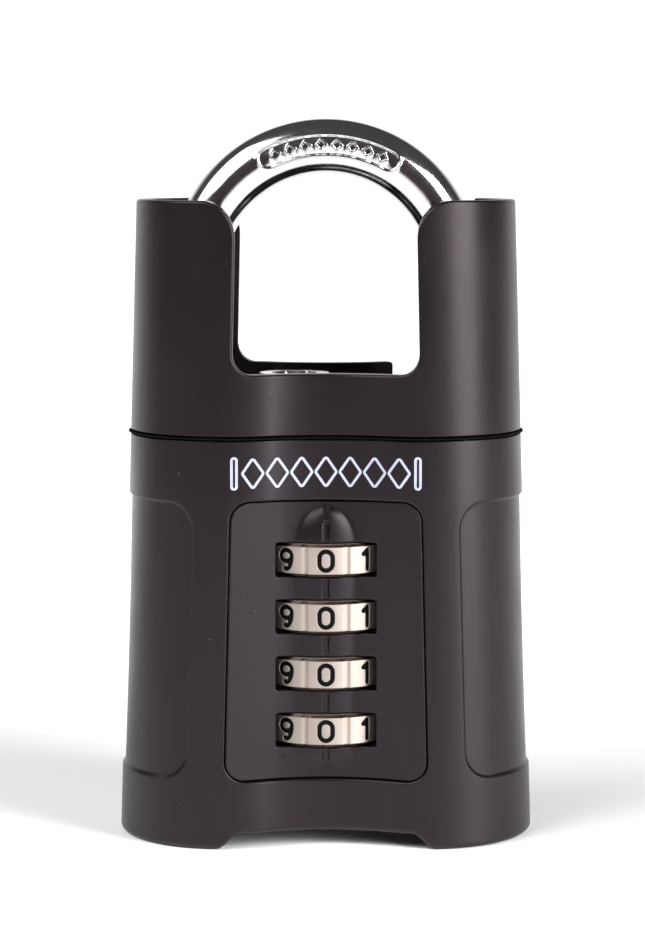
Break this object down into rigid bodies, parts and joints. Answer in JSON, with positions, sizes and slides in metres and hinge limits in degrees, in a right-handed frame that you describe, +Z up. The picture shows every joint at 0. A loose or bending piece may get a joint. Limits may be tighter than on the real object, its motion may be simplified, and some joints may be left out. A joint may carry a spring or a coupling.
{
  "type": "combination padlock",
  "caption": "Shrouded combination padlock: waisted metal casing, number dials on its front, guarded U-shaped shackle that lifts when the code is set.",
  "frame": {"origin": "centre of the base, on the surface that the padlock stands on", "axes": "+Z up towards the shackle, +X to the right seen from the dials' side, -Y out of the dials' side"},
  "size_m": [0.0554, 0.0284, 0.0952],
  "materials": {
    "casing_paint": "satin black coating on cast zinc",
    "zinc": "raw die-cast zinc",
    "hard_steel": "ground hardened steel",
    "gasket": "matt black",
    "chrome": "polished chrome plating",
    "screw_steel": "zinc-plated steel",
    "spring_steel": "bright spring steel",
    "nickel": "satin nickel plating, black filled digits",
    "brass": "turned brass",
    "button_steel": "turned steel"
  },
  "bodies": {
    "body": {"body_case": "casing_paint", "face_plate": "casing_paint", "lock_core": "zinc", "drill_plate": "hard_steel", "seam_gasket": "gasket", "shroud": "casing_paint", "heel_bush": "hard_steel", "toe_bush": "hard_steel", "reset_bush": "chrome", "tie_screws": "screw_steel", "detent_comb": "spring_steel", "detent_screws": "screw_steel"},
    "shackle": {"shackle": "chrome", "yoke": "hard_steel", "spindle": "hard_steel", "spindle_clip": "spring_steel"},
    "dial_1": {"dial_1": "nickel", "sleeve_1": "brass"},
    "dial_2": {"dial_2": "nickel", "sleeve_2": "brass"},
    "dial_3": {"dial_3": "nickel", "sleeve_3": "brass"},
    "dial_4": {"dial_4": "nickel", "sleeve_4": "brass"},
    "reset": {"reset_plunger": "button_steel", "reset_spring": "spring_steel"}
  },
  "joints": [
    {"name": "shackle_lift", "type": "slide", "parent": "body", "child": "shackle", "axis": [0, 0, 1], "range_m": [0, 0.0075]},
    {"name": "dial_1_spin", "type": "hinge", "parent": "body", "child": "dial_1", "pos_m": [0, -0.0039, 0.038], "axis": [0, 0, 1], "continuous": true},
    {"name": "dial_2_spin", "type": "hinge", "parent": "body", "child": "dial_2", "pos_m": [0, -0.0039, 0.0305], "axis": [0, 0, 1], "continuous": true},
    {"name": "dial_3_spin", "type": "hinge", "parent": "body", "child": "dial_3", "pos_m": [0, -0.0039, 0.023], "axis": [0, 0, 1], "continuous": true},
    {"name": "dial_4_spin", "type": "hinge", "parent": "body", "child": "dial_4", "pos_m": [0, -0.0039, 0.0155], "axis": [0, 0, 1], "continuous": true},
    {"name": "reset_press", "type": "slide", "parent": "body", "child": "reset", "axis": [0, 0, -1], "range_m": [0, 0.002], "stiffness_N_per_m": 300, "springref_m": -0.002, "deforming": ["reset_spring"]}
  ]
}
